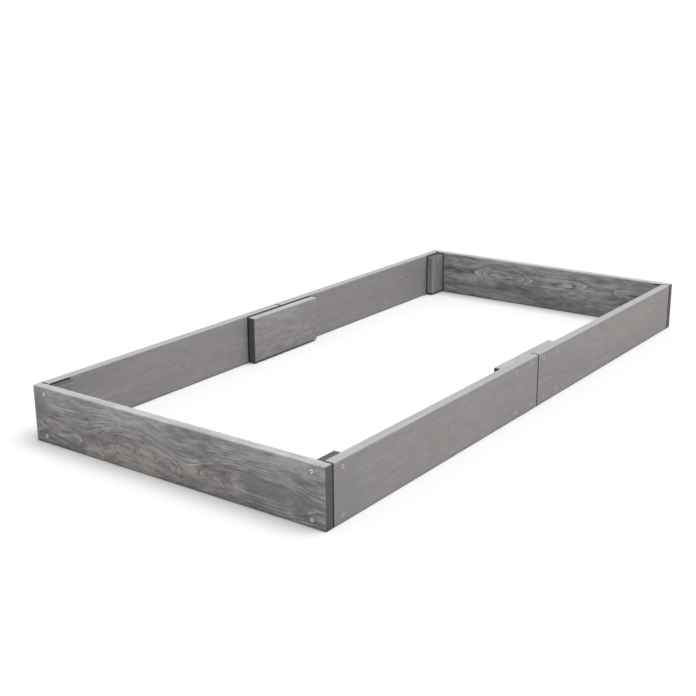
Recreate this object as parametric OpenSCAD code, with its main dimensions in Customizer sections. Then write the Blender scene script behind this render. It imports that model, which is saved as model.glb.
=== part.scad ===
/* [Frame] */
// Overall width, across the two long sides
frame_w = 900; // [600:10:1200]
// Overall length, over the two end boards
frame_l = 1850; // [1200:10:2400]

/* [Boards] */
// Height of every board
board_h = 145; // [120:5:200]
// Thickness of every board
board_t = 25; // [20:1:30]
// Radius on the edges that run along a board
edge_r = 3; // [1:0.5:4]
// Radius on the edges at a board's sawn ends
end_r = 3; // [0.5:0.5:3]

/* [Corner cleats] */
// Width of a cleat, along the long side
cleat_w = 70; // [60:2:100]
// Thickness of a cleat, across the frame
cleat_t = 25; // [20:1:30]

/* [Splice plates] */
// Length of the plate that joins the two halves of a long side
splice_l = 300; // [240:10:400]
// Thickness of a splice plate
splice_t = 25; // [20:1:30]
// Distance of a screw from the seam, and from the plate's end
splice_inset = 35; // [25:1:50]
// How far cleats and splice plates stay below the rim and above the ground
inner_setback = 5; // [2:1:8]

/* [Screws] */
// Diameter over the thread
thread_d = 5; // [4:0.5:6]
// Diameter of the thread's core and of the plain shank
core_d = 3.4; // [2.8:0.1:3.6]
// Diameter of the countersunk head
head_d = 9.6; // [8:0.1:12]
// Distance between two ridges of the thread
pitch = 2.5; // [2:0.25:3]
// Wood left beyond a screw's tip in the cleat or splice plate
tip_cover = 5; // [4:0.5:8]
// Length of thread that stays inside the outer board
thread_lead = 5; // [2:1:8]
// Distance of a screw from a board's top or bottom edge
screw_inset = 18; // [15:1:25]
// How far a head lies below the board's face
head_sink = 0.4; // [0.2:0.1:1]

/* [Clearances] */
// Gap all round a screw in a board or cleat
screw_gap = 0.1; // [0.05:0.05:0.2]
// Space left beyond a screw's tip
tip_gap = 1; // [0.5:0.5:1.5]

/* [Hidden] */
$fn = 48;

// Overrun of a cut past the face it opens
cut = 1;
// Signs that place a copy on the left or right, and at the front or back
left = -1;
right = 1;
front = -1;
back = 1;

half_w = frame_w / 2;
half_l = frame_l / 2;
side_board_l = half_l - board_t;
inner_h = board_h - 2 * inner_setback;

// Centre of a cleat, which is also where its screws go in
cleat_x = half_w - board_t - cleat_t / 2;
cleat_y = half_l - board_t - cleat_w / 2;
splice_x = half_w - board_t - splice_t / 2;

screw_heights = [screw_inset, board_h - screw_inset];
splice_columns = [splice_inset, splice_l / 2 - splice_inset];

// Screw: a 90 degree countersunk head, plain shank, ridged thread and point
screw_l = board_t + min(cleat_t, splice_t) - tip_cover;
shank_l = board_t - thread_lead;
head_rim = 0.5;
head_h = head_rim + (head_d - core_d) / 2;
point_l = 5;
ridge_count = floor((screw_l - shank_l - point_l) / pitch);
// Part of a pitch at which a ridge peaks, and at which it is back at the core
ridge_peak = 0.3;
ridge_foot = 0.7;
// Six-lobed driver socket
socket_r = 1.35;
lobe_r = 0.5;
lobe_count = 6;
socket_depth = 2;

wood_end = [0.38, 0.37, 0.39];
wood_side = [0.56, 0.55, 0.56];
wood_inner = [0.5, 0.48, 0.47];
zinc = [0.78, 0.7, 0.5];

// Rectangle centred on the origin with its corners rounded to radius r
module rounded_rect(size, r) {
    square([size[0] - 2 * r, size[1]], center = true);
    square([size[0], size[1] - 2 * r], center = true);
    for (x = [-1, 1], y = [-1, 1])
        translate([x * (size[0] / 2 - r), y * (size[1] / 2 - r)]) circle(r);
}

// Plank along X, standing on z = 0, centred on the origin in plan
module plank(length, thick, high, long_r, short_r) {
    intersection() {
        translate([-length / 2, 0, high / 2]) rotate([90, 0, 90])
            linear_extrude(length) rounded_rect([thick, high], long_r);
        linear_extrude(high) rounded_rect([length, thick], short_r);
    }
}

// Screw with the top of its head at the origin and its point down
module screw() {
    difference() {
        rotate_extrude() polygon(concat(
            [[0, 0], [head_d / 2, 0], [head_d / 2, -head_rim], [core_d / 2, -head_h],
             [core_d / 2, -shank_l]],
            [for (i = [0:ridge_count - 1], edge = [[thread_d, ridge_peak], [core_d, ridge_foot]])
                [edge[0] / 2, -shank_l - (i + edge[1]) * pitch]],
            [[core_d / 2, -screw_l + point_l], [0, -screw_l]]));
        translate([0, 0, -socket_depth]) {
            cylinder(h = socket_depth + cut, r = socket_r);
            for (i = [0:lobe_count - 1])
                rotate(i * 360 / lobe_count) translate([socket_r, 0])
                    cylinder(h = socket_depth + cut, r = lobe_r);
        }
    }
}

// Space that a screw needs: countersink and clearance hole, for cutting
module screw_hole() {
    hole_r = thread_d / 2 + screw_gap;
    sink_r = head_d / 2 + screw_gap;
    translate([0, 0, -head_rim - screw_gap]) cylinder(h = head_rim + screw_gap + head_sink + cut, r = sink_r);
    translate([0, 0, -head_rim - screw_gap - sink_r + hole_r])
        cylinder(h = sink_r - hole_r, r1 = hole_r, r2 = sink_r);
    translate([0, 0, -screw_l - tip_gap]) cylinder(h = screw_l + tip_gap, r = hole_r);
}

// Children placed as the screws through the end boards into one corner's cleat
module at_end_screws(x, y) {
    for (z = screw_heights)
        translate([x * cleat_x, y * (half_l - head_sink), z]) rotate([-90 * y, 0, 0]) children();
}

// Children placed as the screws through a side board into one corner's cleat
module at_side_screws(x, y) {
    for (z = screw_heights)
        translate([x * (half_w - head_sink), y * cleat_y, z]) rotate([0, 90 * x, 0]) children();
}

// Children placed as the screws through one side board into its splice plate
module at_splice_screws(x, y) {
    for (column = splice_columns, z = screw_heights)
        translate([x * (half_w - head_sink), y * column, z]) rotate([0, 90 * x, 0]) children();
}

module end_board(y) {
    color(wood_end) difference() {
        translate([0, y * (half_l - board_t / 2), 0]) plank(frame_w, board_t, board_h, edge_r, end_r);
        for (x = [left, right]) at_end_screws(x, y) screw_hole();
    }
}

module side_board(x, y) {
    color(wood_side) difference() {
        translate([x * (half_w - board_t / 2), y * side_board_l / 2, 0]) rotate(90)
            plank(side_board_l, board_t, board_h, edge_r, end_r);
        at_side_screws(x, y) screw_hole();
        at_splice_screws(x, y) screw_hole();
    }
}

module cleat(x, y) {
    color(wood_inner) difference() {
        translate([x * cleat_x, y * cleat_y, inner_setback]) linear_extrude(inner_h)
            rounded_rect([cleat_t, cleat_w], end_r);
        at_end_screws(x, y) screw_hole();
        at_side_screws(x, y) screw_hole();
    }
}

module splice_plate(x) {
    color(wood_inner) difference() {
        translate([x * splice_x, 0, inner_setback]) rotate(90)
            plank(splice_l, splice_t, inner_h, edge_r, end_r);
        for (y = [front, back]) at_splice_screws(x, y) screw_hole();
    }
}

module front_board() { end_board(front); }
module back_board() { end_board(back); }
module left_front_board() { side_board(left, front); }
module left_back_board() { side_board(left, back); }
module right_front_board() { side_board(right, front); }
module right_back_board() { side_board(right, back); }
module front_left_cleat() { cleat(left, front); }
module front_right_cleat() { cleat(right, front); }
module back_left_cleat() { cleat(left, back); }
module back_right_cleat() { cleat(right, back); }
module left_splice_plate() { splice_plate(left); }
module right_splice_plate() { splice_plate(right); }
module front_left_end_screws() { color(zinc) at_end_screws(left, front) screw(); }
module front_right_end_screws() { color(zinc) at_end_screws(right, front) screw(); }
module back_left_end_screws() { color(zinc) at_end_screws(left, back) screw(); }
module back_right_end_screws() { color(zinc) at_end_screws(right, back) screw(); }
module front_left_side_screws() { color(zinc) at_side_screws(left, front) screw(); }
module front_right_side_screws() { color(zinc) at_side_screws(right, front) screw(); }
module back_left_side_screws() { color(zinc) at_side_screws(left, back) screw(); }
module back_right_side_screws() { color(zinc) at_side_screws(right, back) screw(); }
module left_front_splice_screws() { color(zinc) at_splice_screws(left, front) screw(); }
module left_back_splice_screws() { color(zinc) at_splice_screws(left, back) screw(); }
module right_front_splice_screws() { color(zinc) at_splice_screws(right, front) screw(); }
module right_back_splice_screws() { color(zinc) at_splice_screws(right, back) screw(); }

front_board();
back_board();
left_front_board();
left_back_board();
right_front_board();
right_back_board();
front_left_cleat();
front_right_cleat();
back_left_cleat();
back_right_cleat();
left_splice_plate();
right_splice_plate();
front_left_end_screws();
front_right_end_screws();
back_left_end_screws();
back_right_end_screws();
front_left_side_screws();
front_right_side_screws();
back_left_side_screws();
back_right_side_screws();
left_front_splice_screws();
left_back_splice_screws();
right_front_splice_screws();
right_back_splice_screws();
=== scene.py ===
"""Looks of the cold frame base: stained planks and plated screws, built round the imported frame."""
import math

import bpy
import numpy as np
from mathutils import Matrix, Vector, noise


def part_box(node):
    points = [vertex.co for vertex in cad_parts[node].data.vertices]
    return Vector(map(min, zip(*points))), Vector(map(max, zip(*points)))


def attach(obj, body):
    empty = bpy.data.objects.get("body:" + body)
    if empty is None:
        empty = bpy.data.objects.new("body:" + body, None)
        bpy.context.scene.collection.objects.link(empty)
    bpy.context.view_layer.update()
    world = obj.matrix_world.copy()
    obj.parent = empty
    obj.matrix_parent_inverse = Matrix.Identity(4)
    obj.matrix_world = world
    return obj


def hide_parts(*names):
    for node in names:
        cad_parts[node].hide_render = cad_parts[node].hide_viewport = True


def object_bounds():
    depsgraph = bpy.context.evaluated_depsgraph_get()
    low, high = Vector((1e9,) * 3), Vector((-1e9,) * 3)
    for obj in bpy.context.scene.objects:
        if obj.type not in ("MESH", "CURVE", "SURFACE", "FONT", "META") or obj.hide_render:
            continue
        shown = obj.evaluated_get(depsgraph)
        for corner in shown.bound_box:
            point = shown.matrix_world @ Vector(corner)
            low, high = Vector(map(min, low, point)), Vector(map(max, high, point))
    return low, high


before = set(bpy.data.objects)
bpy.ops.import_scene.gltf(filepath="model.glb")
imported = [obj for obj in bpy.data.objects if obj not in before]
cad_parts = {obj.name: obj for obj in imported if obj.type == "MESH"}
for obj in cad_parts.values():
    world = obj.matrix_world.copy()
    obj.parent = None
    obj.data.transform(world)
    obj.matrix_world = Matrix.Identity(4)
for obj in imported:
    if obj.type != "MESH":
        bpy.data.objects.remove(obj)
cad_box = [list(corner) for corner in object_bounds()]

MM = 0.001
X, Y, Z = 0, 1, 2


# ---------------------------------------------------------------- meshes

EDGE_R = 3 * MM  # rounding on every edge of a plank
EDGE_ROWS = (45, 30, 15)  # degrees round that edge at which the mesh has a row
GRID_ALONG = 6 * MM  # mesh spacing along the grain,
GRID_ACROSS = 1.5 * MM  # across it on a plank's face,
GRID_THICK = 2.5 * MM  # and through a plank's thickness
SAME_ROW = 0.5 * MM  # an extra row nearer than this to one of the even rows is left out


def ticks(length, step, extra):
    """Places of the mesh's rows from 0 to length: even ones, three on each rounded edge, and extra ones."""
    bends = [EDGE_R * (1 - math.tan(math.radians(angle))) for angle in EDGE_ROWS]
    count = max(1, round((length - 2 * EDGE_R) / step))
    flat = np.linspace(EDGE_R, length - EDGE_R, count + 1)
    places = [*bends, *flat, *(length - bend for bend in reversed(bends))]
    inner = [e for e in extra if EDGE_R < e < length - EDGE_R]
    places += [e for e in inner if min(abs(e - place) for place in places) > SAME_ROW]
    return np.array(sorted(places))


def quads(ids, flipped):
    """The faces between a grid of vertex numbers."""
    corners = [ids[:-1, :-1], ids[1:, :-1], ids[1:, 1:], ids[:-1, 1:]]
    faces = np.stack([c.ravel() for c in corners], axis=1)
    return faces[:, ::-1] if flipped else faces


def box_grid(sides):
    """Points and faces of a box's surface, gridded at the given places along X, Y and Z."""
    shape = tuple(len(side) for side in sides)
    shell = np.ones(shape, bool)
    shell[1:-1, 1:-1, 1:-1] = False
    ids = np.full(shape, -1)
    ids[shell] = np.arange(shell.sum())
    points = np.stack(np.meshgrid(*sides, indexing="ij"), axis=-1)[shell]
    faces = []
    for end in (0, -1):
        faces.append(quads(ids[end, :, :], end == 0))
        faces.append(quads(ids[:, end, :], end == -1))
        faces.append(quads(ids[:, :, end], end == 0))
    return points, np.concatenate(faces)


def turned(profile, segments):
    """Points and faces of a closed shape made of rings, from its tip to its top. Each ring is (radius,
    height) or, where it isn't round, a function of the angle that gives them."""
    angles = [2 * math.pi * i / segments for i in range(segments)]
    rings = []
    for ring in profile:
        at = ring if callable(ring) else (lambda angle, same=ring: same)
        rings.append([(at(a)[0] * math.cos(a), at(a)[0] * math.sin(a), at(a)[1]) for a in angles])
    points = [p for ring in rings for p in ring]
    faces = []
    for k in range(len(rings) - 1):
        below, above = k * segments, (k + 1) * segments
        for i in range(segments):
            j = (i + 1) % segments
            faces.append((below + i, below + j, above + j, above + i))
    for ring, order in ((0, -1), (len(rings) - 1, 1)):
        middle = len(points)
        points.append(tuple(np.mean(rings[ring], axis=0)))
        base = ring * segments
        for i in range(segments):
            j = (i + 1) % segments
            faces.append((middle, base + i, base + j)[::order])
    return np.array(points), faces


def joined(parts):
    """One array of points and one list of faces from several."""
    points, faces, start = [], [], 0
    for more_points, more_faces in parts:
        points.append(more_points)
        faces += [tuple(start + i for i in face) for face in more_faces]
        start += len(more_points)
    return np.concatenate(points), faces


def new_object(name, points, faces):
    mesh = bpy.data.meshes.new(name)
    mesh.from_pydata(np.asarray(points).tolist(), [], [tuple(face) for face in faces])
    mesh.validate()
    made = bpy.data.objects.new(name, mesh)
    bpy.context.scene.collection.objects.link(made)
    return made


METAL_SHARP, WOOD_SHARP = 35, 40  # degrees between faces above which an edge is drawn sharp


def shade(obj, sharp_angle, material):
    obj.data.shade_smooth()
    obj.data.set_sharp_from_angle(angle=math.radians(sharp_angle))
    obj.data.materials.clear()
    obj.data.materials.append(material)


def write_values(mesh, name, values):
    mesh.attributes.new(name, "FLOAT", "POINT").data.foreach_set("value", values)


def write_vectors(mesh, name, values):
    mesh.attributes.new(name, "FLOAT_VECTOR", "POINT").data.foreach_set("vector", values.ravel())


def stand_in_for(obj, node):
    """Hides the CAD node that the object stands for, and makes the object ride with the frame."""
    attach(obj, "root")
    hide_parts(node)


def smooth(values, start, end):
    """0 up to start, 1 from end, and an even curve between them."""
    t = np.clip((values - start) / (end - start), 0, 1)
    return t * t * (3 - 2 * t)


# ---------------------------------------------------------------- screws

CORNERS = [(y, x) for y in ("front", "back") for x in ("left", "right")]
OUTWARD = {
    "front": Vector((0, -1, 0)),
    "back": Vector((0, 1, 0)),
    "left": Vector((-1, 0, 0)),
    "right": Vector((1, 0, 0)),
}

low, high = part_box("front_left_end_screws")
HEAD_R = (high.x - low.x) / 2
CORE_R = 1.7 * MM
THREAD_R = 2.45 * MM
PITCH = 2.5 * MM
RIDGE = 0.28  # half a ridge's width, as a share of the pitch
RINGS_A_TURN = 6
SHANK = 20 * MM  # plain length under the top of the head
POINT = 5 * MM  # length over which the thread tapers to its tip
SCREW_SIDES = 36
# Rings of the head, as mm beyond its radius and mm above its top
HEAD_PROFILE = [(-0.12, -0.55), (0, -0.42), (0, -0.22), (-0.16, -0.05), (-0.5, 0)]
SOCKET_R = 2.0 * MM
SOCKET_WAVE = 0.35 * MM  # how far its six lobes stand out
SOCKET_DEPTH = 2 * MM
TURN_STEP = 2.4  # radians from one screw's turn to the next one's
HOLE_R = 2.6 * MM
SINK_GAP = 0.25 * MM  # room round a head in its countersink
SINK_WALL = 0.5 * MM  # height of the countersink's straight wall
HALO = 3.5 * MM  # how far stain or torn grain shows round a head
HALO_DEPTH = 4 * MM  # and how deep in the wood


def screws_of(node, side, first_turn):
    """The screws of one CAD node, whose heads look to that side of the frame, as places found from its box.
    Each is turned a further TURN_STEP about its axis, counted from first_turn."""
    low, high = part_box(node)
    size = high - low
    axis, across = (X, Y) if side in ("left", "right") else (Y, X)
    columns = [low[across] + HEAD_R, high[across] - HEAD_R]
    if size[across] < 3 * HEAD_R:
        columns = columns[:1]
    found = []
    for column in columns:
        for z in (low.z + HEAD_R, high.z - HEAD_R):
            top = Vector((0, 0, z))
            top[axis] = high[axis] if OUTWARD[side][axis] > 0 else low[axis]
            top[across] = column
            turn = TURN_STEP * (first_turn + len(found)) % (math.pi / 3)
            found.append({"top": top, "out": OUTWARD[side], "turn": turn, "length": size[axis]})
    return found


SCREWS = {}
for corner, (y, x) in enumerate(CORNERS):
    first = 3 * corner + 1
    SCREWS[f"{y}_{x}_end_screws"] = screws_of(f"{y}_{x}_end_screws", y, first)
    SCREWS[f"{y}_{x}_side_screws"] = screws_of(f"{y}_{x}_side_screws", x, first)
    SCREWS[f"{x}_{y}_splice_screws"] = screws_of(f"{x}_{y}_splice_screws", x, first + 1)


def placed(points, screw):
    """Points of a screw's own frame, where its head's top is at 0 and its tip below, moved to the screw."""
    upright = Vector((0, 0, 1)).rotation_difference(screw["out"]).to_matrix()
    turn = upright @ Matrix.Rotation(screw["turn"], 3, "Z")
    return points @ np.array(turn).T + np.array(screw["top"])


def seen_from(screw, points):
    """How deep each point is below the top of the screw's head, and how far from its axis."""
    away = points - np.array(screw["top"])
    depth = -away @ np.array(screw["out"])
    return depth, np.linalg.norm(away + np.outer(depth, screw["out"]), axis=1)


def screw_mesh(length):
    """A countersunk wood screw with a six-lobed socket, a plain shank and a helical thread."""

    def thread(z):
        def ring(angle):
            turn = ((z + length) / PITCH - angle / (2 * math.pi)) % 1
            ridge = max(0, 1 - abs(turn - 0.5) / RIDGE)
            taper = min(1, max(0.05, (z + length) / POINT))
            return (CORE_R + (THREAD_R - CORE_R) * ridge) * taper, z
        return ring

    def socket(scale, z):
        return lambda angle: ((SOCKET_R + SOCKET_WAVE * math.cos(6 * angle)) * scale, z)

    neck = -(HEAD_R - CORE_R) - 0.5 * MM
    rows = int((length - SHANK) / (PITCH / RINGS_A_TURN))
    rings = [thread(-length + 0.1 * MM + i * (length - SHANK) / rows) for i in range(rows)]
    rings += [(CORE_R, -SHANK + 0.3 * MM), (CORE_R, neck - 0.6 * MM), (CORE_R * 1.12, neck)]
    rings += [(HEAD_R + beyond * MM, above * MM) for beyond, above in HEAD_PROFILE]
    # The socket, from its bevelled mouth down to its floor
    rings += [socket(1.18, 0), socket(1.06, -0.06 * MM), socket(1, -0.25 * MM), socket(0.97, -SOCKET_DEPTH)]
    rings += [(SOCKET_R * 0.4, -SOCKET_DEPTH - 0.35 * MM)]
    return turned(rings, SCREW_SIDES)


def hole_mesh(length):
    """What a screw takes out of the wood: its countersink and its hole."""
    sink = HEAD_R + SINK_GAP
    cone_foot = -(sink - HOLE_R) - SINK_WALL
    rings = [(HOLE_R, -length - 1 * MM), (HOLE_R, cone_foot), (sink, -SINK_WALL), (sink + 0.1 * MM, 2 * MM)]
    return turned(rings, SCREW_SIDES)


def make_screws(node, screws, dulling, material):
    """Makes the screws of one CAD node, and writes what the zinc reads: whether a point is inside a
    socket, where the zinc is painted dark as shade, and how far the heads are dulled and browned."""
    parts, socket_shade_and_dulling = [], []
    for screw in screws:
        points, faces = screw_mesh(screw["length"])
        points = placed(points, screw)
        depth, off_axis = seen_from(screw, points)
        # Inside a socket the zinc is painted near black and not metallic, as shade
        inside = smooth(depth, 0.02 * MM, 0.3 * MM) * (depth < SOCKET_DEPTH + 1 * MM)
        inside *= off_axis < SOCKET_R + 2 * SOCKET_WAVE
        parts.append((points, faces))
        socket_shade_and_dulling.append(np.stack([inside, np.full(len(points), dulling), np.zeros(len(points))], 1))
    metal = new_object(node + "_metal", *joined(parts))
    write_vectors(metal.data, "socket_shade_and_dulling", np.concatenate(socket_shade_and_dulling))
    shade(metal, METAL_SHARP, material)
    stand_in_for(metal, node)


# ---------------------------------------------------------------- planks

JOINT_SHADE = (1.5 * MM, 4 * MM)  # a joint's painted shade, with some collected stain, is full up to the first, and gone at the second
GRAIN_RELIEF = 0.1 * MM  # how far the surface is sunk in the middle of each growth ring,
UNEVEN = 0.15 * MM  # how far slower waves sink it,
CHIP = 2.5 * MM  # and how far a chip does for each 1 that its noise is above CHIP_FROM
CHIP_FROM = 0.38
CHIP_REACH = 5 * MM  # chips are found this near an edge
PITH_WANDER = 6 * MM  # how far the pith strays up and down along a plank
RIPPLE = 0.5  # how many rings a line strays by
KNOT_SWELLING = (2.2, 1.5, 3.0)  # round a knot: length and width in its radii, and rings
FLOW_BEND = 0.7  # how far the fibres follow a swelling of the rings
FLOW_SHIFT = 5  # metres in the grain textures from one plank to the next
WARM_DEPTH = (2 * MM, 12 * MM)  # brown patches fade between these depths behind the outer face
WEAR_AND_HIGHLIGHT_WIDTH = 3 * MM  # edges lightened partly by wear and partly as painted highlight fade over this,
FOOT_SHADE_HEIGHT = 3 * MM  # and the painted shade along the foot over this
TOP_HIGHLIGHT_DEPTH = (3 * MM, 0.5 * MM)  # the painted highlight on the top rim starts this far below the top, and is full at the second
END_DEPTH = (0.6 * MM, 2.4 * MM)  # end grain is full up to the first, and gone at the second
PROBES = 20  # places along a screw at which to look for wood
INSIDE = 0.1 * MM  # a place is in a plank if it is this far inside its box


class Plank:
    """A piece of wood: its CAD node, the way its grain runs, and how the tree's rings lie in it.

    Axes are those of its length, its width and its thickness, and out is the side, -1 or +1, that its outer
    face looks to. The pith is the tree's centre, as (height, depth behind the outer face), and ring is the
    width of a growth ring. The rest is given in metres along the plank and up its width. Features
    are (place, height, length, width, rings) swellings of the rings, as beside a knot. Warm is a list of
    (place, height, length, width, strength) patches where brown wood shows through the stain, or where the
    stain is smooth and cool if the strength is below 0; the cool patch at the near end of the right front
    board is painted shadow instead. Knots are (place, height, radius)."""

    def __init__(self, node, slot, axes, out, seed, pith, ring, features=(), warm=(), knots=()):
        self.node, self.slot, self.out, self.seed = node, slot, out, seed
        self.along, self.up, self.through = axes
        self.pith, self.ring = pith, ring
        self.warm, self.knots = warm, knots
        length, width, swell = KNOT_SWELLING
        around_knots = [(s, h, length * r, width * r, swell) for s, h, r in knots]
        self.swellings = (features, around_knots)
        low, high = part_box(node)
        self.low, self.high = np.array(low), np.array(high)

    def local(self, points):
        """Place along the grain, height and depth behind the outer face of each point."""
        s = points[:, self.along] - self.low[self.along]
        h = points[:, self.up] - self.low[self.up]
        if self.out > 0:
            d = self.high[self.through] - points[:, self.through]
        else:
            d = points[:, self.through] - self.low[self.through]
        return s, h, d

    def noise(self, s, h, d, scale, layer):
        """Smooth noise from about -1 to 1, with scale waves a metre along the grain and across it."""
        shift = 13.7 * self.seed + 5.3 * layer
        at = np.stack([s * scale[0] + shift, h * scale[1] + shift, d * scale[1] - shift], axis=1)
        return np.array([noise.noise(p) for p in at.tolist()])

    def swell(self, s, h):
        return bumps(s, h, self.swellings[0]) + bumps(s, h, self.swellings[1])

    def rings(self, s, h, d):
        """Which growth ring each point is in, counted from the pith, as a number with a fraction."""
        wander = PITH_WANDER * self.noise(s, h * 0, d * 0, (1.6, 1), 1)
        radius = np.hypot(h - self.pith[0] - wander, d - self.pith[1])
        return radius / self.ring + self.swell(s, h) + RIPPLE * self.noise(s, h, d, (7, 22), 2)

    def holds(self, screw):
        """True if the screw goes into the plank."""
        tip = screw["top"] - screw["out"] * screw["length"] * 0.98
        for i in range(PROBES):
            at = np.array(screw["top"].lerp(tip, i / (PROBES - 1)))
            if ((at > self.low + INSIDE) & (at < self.high - INSIDE)).all():
                return True
        return False


def bumps(s, h, features):
    total = np.zeros(len(s))
    for place, height, length, width, strength in features:
        total += strength * np.exp(-(((s - place) / length) ** 4) - ((h - height) / width) ** 2)
    return total


def contact(points, others):
    """1 where a point is in the joint with another plank, falling to 0 a few millimetres outside it."""
    gap = np.full(len(points), 1.0)
    for other in others:
        outside = np.maximum(np.maximum(other.low - points, points - other.high), 0)
        gap = np.minimum(gap, np.linalg.norm(outside, axis=1))
    return 1 - smooth(gap, *JOINT_SHADE)


def edge_distance(points, low, high):
    """How far each point of a box's surface is from the box's nearest edge."""
    gaps = np.sort(np.minimum(points - low, high - points), axis=1)
    return np.maximum(gaps[:, 1], 0)


def plank_points(plank, others, screws):
    """The plank's grid with rounded edges, raised grain and small chips out of its edges."""
    steps = {plank.along: GRID_ALONG, plank.up: GRID_ACROSS, plank.through: GRID_THICK}
    size = plank.high - plank.low
    # Extra rows beside the other planks' faces carry the painted shade of the joints
    faces_near = [face - plank.low for other in others for face in (other.low, other.high)]
    beside = (-JOINT_SHADE[1], -JOINT_SHADE[0], 0, JOINT_SHADE[0], JOINT_SHADE[1])
    extra = [[face[axis] + e for face in faces_near for e in beside] for axis in (X, Y, Z)]
    for screw in screws:
        place = screw["top"][plank.along] - plank.low[plank.along]
        rims = [HEAD_R + e for e in (0, HALO / 2, HALO)]
        extra[plank.along] += [place + side * rim for rim in rims for side in (-1, 1)]
    points, faces = box_grid([ticks(size[axis], steps[axis], extra[axis]) for axis in (X, Y, Z)])
    core = np.clip(points, EDGE_R, size - EDGE_R)
    out = points - core
    out /= np.linalg.norm(out, axis=1)[:, None]
    near_edge = 1 - smooth(edge_distance(points, 0, size), 0, CHIP_REACH)
    s, h, d = plank.local(points + plank.low)
    mid_ring = 0.5 - 0.5 * np.cos(2 * math.pi * plank.rings(s, h, d))
    uneven = 0.5 + 0.5 * plank.noise(s, h, d, (5, 18), 3)
    chips = np.maximum(plank.noise(s, h, d, (45, 110), 4) - CHIP_FROM, 0) * near_edge
    depth = GRAIN_RELIEF * mid_ring + UNEVEN * uneven + CHIP * chips
    return plank.low + core + out * (EDGE_R - depth)[:, None], faces


def cut(obj, tool):
    """Cuts the tool's shape out of the object and deletes the tool."""
    modifier = obj.modifiers.new("cut", "BOOLEAN")
    modifier.object, modifier.operation, modifier.solver = tool, "DIFFERENCE", "MANIFOLD"
    graph = bpy.context.evaluated_depsgraph_get()
    mesh = bpy.data.meshes.new_from_object(obj.evaluated_get(graph))
    obj.modifiers.clear()
    obj.data = mesh
    bpy.data.objects.remove(tool)


def paint(plank, mesh, others, screws):
    """Writes what the wood's material reads: the flow of the grain, its rings, the marks on it, and where it
    is painted with highlight and shade.
    """
    points = np.zeros(len(mesh.vertices) * 3)
    mesh.vertices.foreach_get("co", points)
    points = points.reshape(-1, 3)
    s, h, d = plank.local(points)
    bent = h + FLOW_BEND * plank.ring * plank.swell(s, h)
    flow = np.stack([s + FLOW_SHIFT * (plank.seed - 1), bent, d], axis=1)
    warm = bumps(s, h, plank.warm) * smooth(-d, -WARM_DEPTH[1], -WARM_DEPTH[0])
    knot = np.zeros(len(points))
    for place, height, radius in plank.knots:
        knot = np.maximum(knot, 1 - smooth(np.hypot((s - place) / 1.3, h - height), 0.4 * radius, radius))
    # Edges get lighter, partly by wear and partly as painted highlight on their roundings
    wear_and_highlight = np.exp(-edge_distance(points, plank.low, plank.high) / WEAR_AND_HIGHLIGHT_WIDTH)
    # Painted highlight: each plank is lighter along its top rim, where the light falls
    top_highlight = smooth(points[:, Z], *(plank.high[Z] - depth for depth in TOP_HIGHLIGHT_DEPTH))
    length = (plank.high - plank.low)[plank.along]
    ends = 1 - smooth(np.minimum(s, length - s), *END_DEPTH)
    # Painted shade: darker towards the bottom edge
    foot_shade = np.exp(-(points[:, Z] - plank.low[Z]) / FOOT_SHADE_HEIGHT)
    halo = np.zeros(len(points))
    for screw in screws:
        depth, off_axis = seen_from(screw, points)
        halo = np.maximum(halo, (1 - smooth(off_axis, HEAD_R, HEAD_R + HALO)) * (depth < HALO_DEPTH))
    # Above 0, painted shade in the joints with some collected stain; below 0, the halo round the screws
    joint_shade_and_halo = contact(points, others) - 0.7 * halo
    write_vectors(mesh, "flow", flow)
    write_vectors(mesh, "marks", np.stack([warm, knot, wear_and_highlight], 1))
    write_vectors(mesh, "dark", np.stack([ends, foot_shade, joint_shade_and_halo], 1))
    write_values(mesh, "top_highlight", top_highlight)
    write_values(mesh, "ring", plank.rings(s, h, d))


def make_plank(plank, others, screws, material):
    wood = new_object(plank.node + "_wood", *plank_points(plank, others, screws))
    holes = []
    for screw in screws:
        points, faces = hole_mesh(screw["length"])
        holes.append((placed(points, screw), faces))
    cut(wood, new_object("holes", *joined(holes)))
    paint(plank, wood.data, others, screws)
    shade(wood, WOOD_SHARP, material)
    stand_in_for(wood, plank.node)


# ---------------------------------------------------------------- materials

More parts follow.
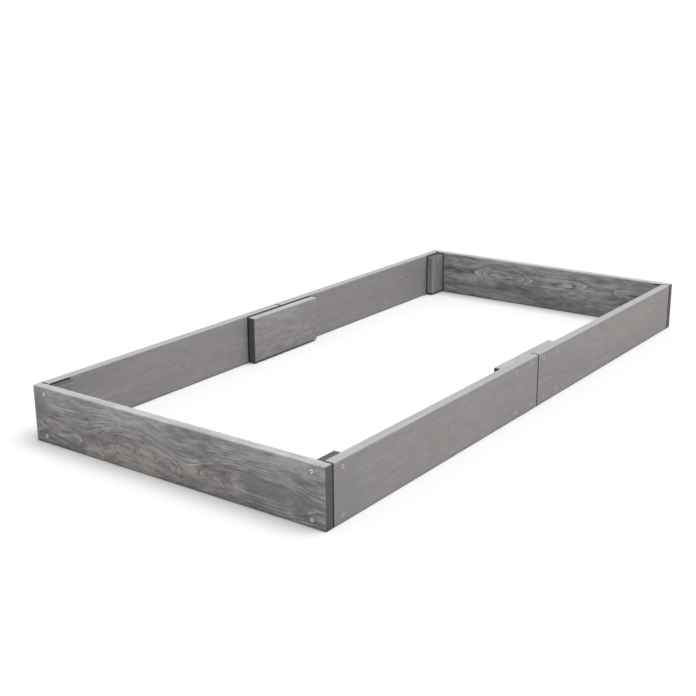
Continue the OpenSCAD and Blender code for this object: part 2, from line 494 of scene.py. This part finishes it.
class Tree:
    """A material's or world's node tree, with short ways to add what it needs."""

    def __init__(self, name="", world=None):
        self.material = world or bpy.data.materials.new(name)
        self.material.use_nodes = True
        self.nodes, self.links = self.material.node_tree.nodes, self.material.node_tree.links
        self.shader = self.nodes.get("Principled BSDF")

    def set(self, socket, value):
        if isinstance(value, bpy.types.NodeSocket):
            self.links.new(value, socket)
        else:
            socket.default_value = value

    def add(self, kind, inputs=(), **settings):
        node = self.nodes.new("ShaderNode" + kind)
        for name, value in settings.items():
            setattr(node, name, value)
        for key, value in dict(inputs).items():
            self.set(node.inputs[key], value)
        return node

    def math(self, operation, a, b=0.0, clamp=False):
        return self.add("Math", {0: a, 1: b}, operation=operation, use_clamp=clamp).outputs[0]

    def times(self, a, b):
        return self.math("MULTIPLY", a, b)

    def plus(self, a, b, clamp=False):
        return self.math("ADD", a, b, clamp)

    def minus(self, a, b):
        return self.math("SUBTRACT", a, b)

    def over_zero(self, a):
        return self.math("MAXIMUM", a, 0.0)

    def value(self, name):
        """A number that paint wrote on the mesh."""
        return self.add("Attribute", attribute_name=name).outputs["Fac"]

    def vector(self, name):
        """Three numbers that paint or make_screws wrote on the mesh."""
        return self.add("Attribute", attribute_name=name).outputs["Vector"]

    def parts(self, vector):
        return self.add("SeparateXYZ", {0: vector}).outputs

    def noise(self, vector, scale, detail=2.0, rough=0.5):
        """Noise whose size along each part of the vector is set by scale."""
        scaled = self.add("VectorMath", {0: vector, 1: scale}, operation="MULTIPLY").outputs[0]
        settings = {"Vector": scaled, "Scale": 1.0, "Detail": detail, "Roughness": rough}
        return self.add("TexNoise", settings).outputs[0]

    def ramp(self, value, stops):
        node = self.add("ValToRGB", {0: value})
        elements = node.color_ramp.elements
        while len(elements) < len(stops):
            elements.new(0.5)
        for element, (place, colour) in zip(elements, stops):
            element.position = place
            element.color = (*([colour] * 3 if isinstance(colour, float) else colour), 1)
        return node.outputs[0]

    def mix(self, factor, a, b):
        node = self.add("Mix", data_type="RGBA", clamp_factor=True)
        for socket, value in ((node.inputs[0], factor), (node.inputs[6], a), (node.inputs[7], b)):
            self.set(socket, (*value, 1) if isinstance(value, tuple) else value)
        return node.outputs[2]

    def bump(self, height, strength, distance):
        node = self.add("Bump", {"Height": height, "Strength": strength, "Distance": distance})
        self.set(self.shader.inputs["Normal"], node.outputs[0])


def scaled(colour, share):
    return tuple(part * share for part in colour)


BROWN = (0.275, 0.238, 0.216)  # wood that shows through the stain
COOL = (0.138, 0.137, 0.146)  # smooth, even stain; at the near end of the right front board, painted shadow
TOP_HIGHLIGHT = ((0.27, 0.274, 0.29), (0.49, 0.495, 0.515))  # painted highlight on the top rim, dark and light grain
END_GRAIN = ((0.04, 0.039, 0.041), (0.078, 0.076, 0.077))
LIGHTER_FROM = 0.06  # metres up a plank's width above which its wood gets steadily lighter,
LIGHTER_FADE = 0.012  # metres below that over which it gets darker,
LIGHTER_RATE = 2.6  # and how much its tone changes for each metre


def wood_grain(t, figure, streaks):
    """The textures that run with the grain, and the tone that they add up to, from 0, dark, to 1, light."""
    flow = t.vector("flow")
    warm = t.parts(t.vector("marks"))[0]
    fibres = t.noise(flow, (14, 1100, 1100), 4, 0.65)
    bands = t.noise(flow, (5, 120, 120), 4, 0.6)
    blotches = t.noise(flow, (22, 85, 85), 3, 0.6)
    cloud = t.noise(flow, (4.5, 26, 26), 3, 0.55)
    flecks = t.ramp(t.noise(flow, (75, 600, 600), 3, 0.6), [(0.58, 0.0), (0.68, 1.0)])
    pores = t.ramp(t.noise(flow, (30, 2000, 2000), 2, 0.5), [(0.56, 0.0), (0.66, 1.0)])

    # One year's ring lightens slowly, then drops to its dark line, and each year has its own strength
    ring = t.plus(t.value("ring"), t.times(t.minus(bands, 0.5), 0.8))
    year_shape = [(0, 0.15), (0.12, 0.45), (0.55, 0.5), (0.78, 0.8), (0.87, 1.0), (0.95, 0.1), (1, 0.0)]
    line = t.ramp(t.math("FRACT", ring), year_shape)
    year = t.add("TexWhiteNoise", {"W": t.math("FLOOR", ring)}, noise_dimensions="1D").outputs["Value"]
    strength = t.times(t.ramp(cloud, [(0.36, 0.1), (0.62, 1.0)]), t.plus(t.times(year, 0.9), 0.35))
    calm = t.plus(1.0, t.math("MINIMUM", t.times(warm, 0.8), 0.0), clamp=True)
    tone = t.times(t.minus(line, 0.5), t.times(t.times(strength, calm), figure))

    for texture, share in ((fibres, 0.65), (blotches, 1.15), (cloud, 1.15)):
        tone = t.plus(tone, t.times(t.minus(texture, 0.5), share * streaks))
    tone = t.plus(tone, t.times(flecks, 0.22 * streaks))
    tone = t.minus(tone, t.times(pores, 0.03 + 0.12 * streaks))
    above = t.math("MAXIMUM", t.minus(t.parts(flow)["Y"], LIGHTER_FROM), -LIGHTER_FADE)
    tone = t.plus(tone, t.times(above, LIGHTER_RATE * streaks))
    tone = t.plus(tone, 0.5, clamp=True)
    return {"flow": flow, "fibres": fibres, "blotches": blotches, "cloud": cloud, "pores": pores,
            "line": line, "tone": tone}


def wood_colour(t, grain, tones, halo):
    """The stain's colour, with the marks, painted highlights and painted shade that paint wrote laid over it
    in turn.
    """
    warm, knot, wear_and_highlight = t.parts(t.vector("marks"))
    ends, foot_shade, joint_shade_and_halo = t.parts(t.vector("dark"))
    tone, blotches = grain["tone"], grain["blotches"]
    colour = t.ramp(tone, [(0.1, tones[0]), (0.5, tones[1]), (0.9, tones[2])])

    mottle = t.ramp(blotches, [(0.36, 0.4), (0.6, 1.0)])
    browned = t.times(mottle, t.over_zero(t.plus(warm, 0.1)))
    colour = t.mix(t.times(browned, 0.8), colour, t.mix(tone, scaled(BROWN, 0.6), scaled(BROWN, 1.5)))
    cooled = t.times(mottle, t.over_zero(t.times(warm, -1.0)))
    colour = t.mix(t.times(cooled, 0.8), colour, COOL)
    colour = t.mix(t.times(knot, 0.7), colour, scaled(BROWN, 0.35))

    # Edges lightened partly by wear and partly as painted highlight
    rubbed_and_lit = t.times(wear_and_highlight, t.ramp(t.noise(grain["flow"], (40, 40, 40), 3), [(0.35, 0.1), (0.7, 0.6)]))
    colour = t.mix(rubbed_and_lit, colour, tones[2])
    # Painted highlight along the top rim
    colour = t.mix(t.times(t.value("top_highlight"), 0.7), colour, t.mix(tone, *TOP_HIGHLIGHT))
    # Painted shade along the foot
    colour = t.mix(t.times(foot_shade, 0.75), colour, scaled(tones[0], 0.4))
    colour = t.mix(t.times(ends, 0.92), colour, t.mix(tone, *END_GRAIN))

    # The joint and halo mark is above 0 in the joints, where it is painted shade with some collected stain,
    # and below 0 round the screws
    stained = t.mix(blotches, scaled(halo, 0.6), scaled(halo, 1.4))
    colour = t.mix(t.over_zero(t.times(joint_shade_and_halo, -1.0)), colour, stained)
    # Painted shade in the joints, nearly black, with some collected stain
    return t.mix(t.times(t.over_zero(joint_shade_and_halo), 0.95), colour, scaled(tones[0], 0.12))


def wood_material(name, tones, halo, figure, streaks):
    """Stained softwood. Tones run from its darkest to its lightest grain, halo is its colour round a screw,
    figure is how far its rings show, and streaks is how far its fibres do."""
    t = Tree(name)
    grain = wood_grain(t, figure, streaks)
    t.set(t.shader.inputs["Base Color"], wood_colour(t, grain, tones, halo))
    even = t.plus(t.times(grain["fibres"], 0.5), t.times(grain["cloud"], 0.5))
    t.set(t.shader.inputs["Roughness"], t.ramp(even, [(0.3, 0.52), (0.7, 0.78)]))
    t.shader.inputs["Specular IOR Level"].default_value = 0.35
    relief = t.plus(t.times(grain["fibres"], 0.7), t.times(grain["line"], 0.5))
    t.bump(t.minus(relief, t.times(grain["pores"], 0.5)), 0.55, 0.35 * MM)
    return t.material


def zinc_material():
    """Yellow zinc plating, blotched, more or less dulled and browned, and painted dark as shade in its
    sockets.
    """
    t = Tree("yellow_zinc")
    place = t.add("TexCoord").outputs["Object"]
    inside, dulling, _ = t.parts(t.vector("socket_shade_and_dulling"))
    blotches = t.noise(place, (420, 420, 420), 4, 0.6)
    metal = t.ramp(blotches, [(0.3, (0.55, 0.47, 0.3)), (0.5, (0.82, 0.76, 0.54)), (0.7, (0.93, 0.9, 0.72))])
    dull_brown = t.ramp(blotches, [(0.3, (0.2, 0.165, 0.14)), (0.7, (0.42, 0.36, 0.32))])
    dulled = t.mix(dulling, metal, dull_brown)
    # Painted shade: near black in the sockets
    t.set(t.shader.inputs["Base Color"], t.mix(inside, dulled, (0.02, 0.018, 0.015)))
    bare = t.times(t.minus(1.0, inside), t.minus(1.0, t.times(dulling, 0.6)))
    t.set(t.shader.inputs["Metallic"], bare)
    t.set(t.shader.inputs["Roughness"], t.ramp(blotches, [(0.3, 0.55), (0.7, 0.38)]))
    t.bump(t.noise(place, (1500, 1500, 1500), 3), 0.3, 0.1 * MM)
    return t.material


def plain_material(name, colour, rough):
    t = Tree(name)
    t.shader.inputs["Base Color"].default_value = (*colour, 1)
    t.shader.inputs["Roughness"].default_value = rough
    return t.material


# ---------------------------------------------------------------- the parts

# END_TONES are darker than SIDE_TONES partly in the wood itself and partly as painted shade on the front
# board, which faces away from the key light
END_TONES = ((0.07, 0.068, 0.073), (0.19, 0.183, 0.187), (0.38, 0.376, 0.385))
SIDE_TONES = ((0.126, 0.12, 0.12), (0.218, 0.207, 0.207), (0.341, 0.33, 0.338))
end_wood = wood_material("stained_end_board", END_TONES, (0.075, 0.064, 0.05), figure=1.0, streaks=0.85)
side_wood = wood_material("stained_side_board", SIDE_TONES, (0.27, 0.215, 0.185), figure=0.24, streaks=0.22)
batten_wood = wood_material("stained_batten", SIDE_TONES, (0.1, 0.085, 0.07), figure=0.4, streaks=0.6)
MATERIALS = {
    "end_boards": end_wood,
    "side_boards": side_wood,
    "cleats": batten_wood,
    "splice_plates": batten_wood,
}
zinc = zinc_material()

# The front board has an eye of brown wood with two knots, a dip beside it and a calm dark oval at the right
FRONT_FEATURES = [
    (0.357, 0.044, 0.1, 0.052, -4.3),
    (0.475, 0.09, 0.085, 0.055, 2.1),
    (0.725, 0.053, 0.11, 0.046, -2.9),
    (0.11, 0.085, 0.11, 0.05, 1.5),
    (0.215, 0.025, 0.05, 0.03, 1.2),
    (0.56, 0.02, 0.07, 0.03, 1.0),
]
FRONT_WARM = [
    (0.36, 0.043, 0.085, 0.023, 2.0),
    (0.525, 0.037, 0.06, 0.018, 1.0),
    (0.66, 0.046, 0.022, 0.026, 1.0),
    (0.205, 0.018, 0.035, 0.018, 1.8),
    (0.07, 0.048, 0.06, 0.02, 0.8),
    (0.26, 0.045, 0.03, 0.014, 0.5),
    (0.147, 0.014, 0.035, 0.014, -1.0),
    (0.73, 0.055, 0.06, 0.024, -1.0),
    (0.82, 0.05, 0.05, 0.02, -0.6),
    (0.585, 0.05, 0.03, 0.02, 0.7),
    (0.0, 0.085, 0.05, 0.06, -1.2),
]
FRONT_KNOTS = [(0.346, 0.052, 5 * MM), (0.411, 0.048, 5 * MM)]

WIDE_RING = 5 * MM
CLOSE_RING = 4.5 * MM
CLEAT_RING = 4 * MM
OUT = {"left": -1, "right": 1}
ACROSS = (X, Z, Y)  # a plank that runs across the frame: its length, width and thickness
LENGTHWISE = (Y, Z, X)
UPRIGHT = (Z, Y, X)

planks = [
    Plank("front_board", "end_boards", ACROSS, -1, 1, (0.045, 0.07), WIDE_RING,
          FRONT_FEATURES, FRONT_WARM, FRONT_KNOTS),
    Plank("back_board", "end_boards", ACROSS, 1, 2, (0.09, 0.06), WIDE_RING,
          features=[(0.3, 0.09, 0.09, 0.04, -2.5), (0.66, 0.05, 0.07, 0.05, 2.4)],
          warm=[(0.62, 0.05, 0.12, 0.03, 0.7)],
          knots=[(0.61, 0.052, 7 * MM)]),
    Plank("left_front_board", "side_boards", LENGTHWISE, -1, 3, (0.07, 0.09), CLOSE_RING,
          features=[(0.55, 0.07, 0.1, 0.05, -2.2)],
          warm=[(0.5, 0.07, 0.2, 0.03, 0.5)]),
    Plank("left_back_board", "side_boards", LENGTHWISE, -1, 4, (0.03, 0.08), WIDE_RING,
          features=[(0.25, 0.04, 0.12, 0.05, 2.0)],
          warm=[(0.3, 0.04, 0.2, 0.04, 0.5)],
          knots=[(0.7, 0.09, 6 * MM)]),
    # The cool, dark patch at the near end of the right front board is painted shadow
    Plank("right_front_board", "side_boards", LENGTHWISE, 1, 5, (0.08, 0.11), CLOSE_RING,
          features=[(0.62, 0.08, 0.15, 0.05, -1.8)],
          warm=[(0.5, 0.06, 0.35, 0.06, 0.3), (0.02, 0.06, 0.09, 0.1, -0.45)]),
    Plank("right_back_board", "side_boards", LENGTHWISE, 1, 6, (0.06, 0.1), WIDE_RING,
          features=[(0.4, 0.06, 0.15, 0.05, 1.8)],
          warm=[(0.6, 0.08, 0.3, 0.05, 0.4)]),
]
for i, (y, x) in enumerate(CORNERS):
    pith = (0.02 + 0.01 * i, 0.05)
    planks.append(Plank(f"{y}_{x}_cleat", "cleats", UPRIGHT, OUT[x], 7 + i, pith, CLEAT_RING))
for i, x in enumerate(("left", "right")):
    swelling = [(0.18, 0.07, 0.06, 0.04, 1.6)]
    planks.append(Plank(f"{x}_splice_plate", "splice_plates", LENGTHWISE, OUT[x], 11 + i, (0.06, 0.07),
                        CLOSE_RING, swelling))

every_screw = [screw for group in SCREWS.values() for screw in group]
for plank in planks:
    others = [other for other in planks if other is not plank]
    inside = [screw for screw in every_screw if plank.holds(screw)]
    make_plank(plank, others, inside, MATERIALS[plank.slot])

END_DULLING, SIDE_DULLING = 0.05, 0.55  # how far the heads on the end boards and on the side boards are dulled and browned
for node, group in SCREWS.items():
    make_screws(node, group, END_DULLING if node.endswith("end_screws") else SIDE_DULLING, zinc)


# ---------------------------------------------------------------- stage, light and camera

FLOOR_HALF = 150.0
FLOOR_Z = -0.2 * MM  # just under the boards, so that no two faces coincide
floor_corners = [(x * FLOOR_HALF, y * FLOOR_HALF, FLOOR_Z) for x, y in ((-1, -1), (1, -1), (1, 1), (-1, 1))]
floor = new_object("floor", floor_corners, [(0, 1, 2, 3)])
floor.data.materials.append(plain_material("pale_floor", (0.72, 0.72, 0.72), 0.9))

# The sky is white at the horizon, where it meets the floor, and dimmer overhead
scene = bpy.context.scene
scene.world = bpy.data.worlds.new("studio")
sky = Tree(world=scene.world)
up = sky.parts(sky.add("TexCoord").outputs["Generated"])["Z"]
sky.set(sky.nodes["Background"].inputs["Color"], sky.ramp(up, [(0.02, 1.0), (0.35, 0.6)]))
scene.view_settings.view_transform = "Standard"

key = bpy.data.objects.new("key", bpy.data.lights.new("key", "SUN"))
key.data.energy = 2.85
key.data.angle = math.radians(45)
key.rotation_euler = Vector((0.28, 0.12, 1.0)).to_track_quat("Z", "Y").to_euler()
scene.collection.objects.link(key)

# The camera stands off the front right corner and looks past it to the left, slightly down
CAMERA_FROM_CORNER = Vector((1.352, -1.765, 1.085))
HEADING = math.radians(36.24)
DOWN = math.radians(17.19)
ROLL = math.radians(0.42)
low, high = (Vector(corner) for corner in cad_box)
camera = bpy.data.objects.new("camera", bpy.data.cameras.new("camera"))
camera.data.sensor_width = 36
camera.data.lens = 61.46
camera.location = Vector((high.x, low.y, 0)) + CAMERA_FROM_CORNER
aim = Matrix.Rotation(HEADING, 3, "Z") @ Matrix.Rotation(math.pi / 2 - DOWN, 3, "X")
aim = aim @ Matrix.Rotation(-ROLL, 3, "Z")
camera.rotation_euler = aim.to_euler()
scene.collection.objects.link(camera)
scene.camera = camera
